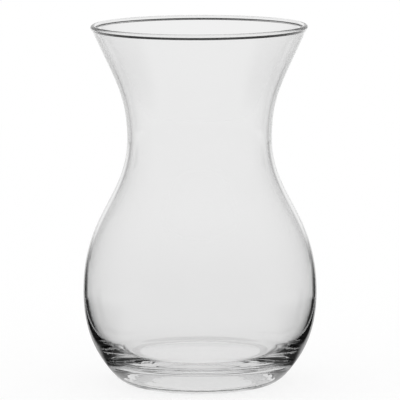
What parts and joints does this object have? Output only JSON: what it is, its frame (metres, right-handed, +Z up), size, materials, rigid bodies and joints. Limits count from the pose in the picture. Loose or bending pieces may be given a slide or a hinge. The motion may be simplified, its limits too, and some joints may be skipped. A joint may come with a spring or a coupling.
{
  "type": "vase",
  "caption": "Clear glass flower vase: a round belly on a thick solid base, drawn in to a waist and flared out to a beaded lip.",
  "frame": {"origin": "on the vase's axis, in the plane of the flat foot that it stands on", "axes": "+Z up along the axis of the vase, towards the mouth; X and Y are alike"},
  "size_m": [0.1296, 0.1296, 0.2],
  "materials": {
    "clear_glass": "clear, fire polished"
  },
  "bodies": {
    "root": {"glass_body": "clear_glass"}
  },
  "joints": []
}
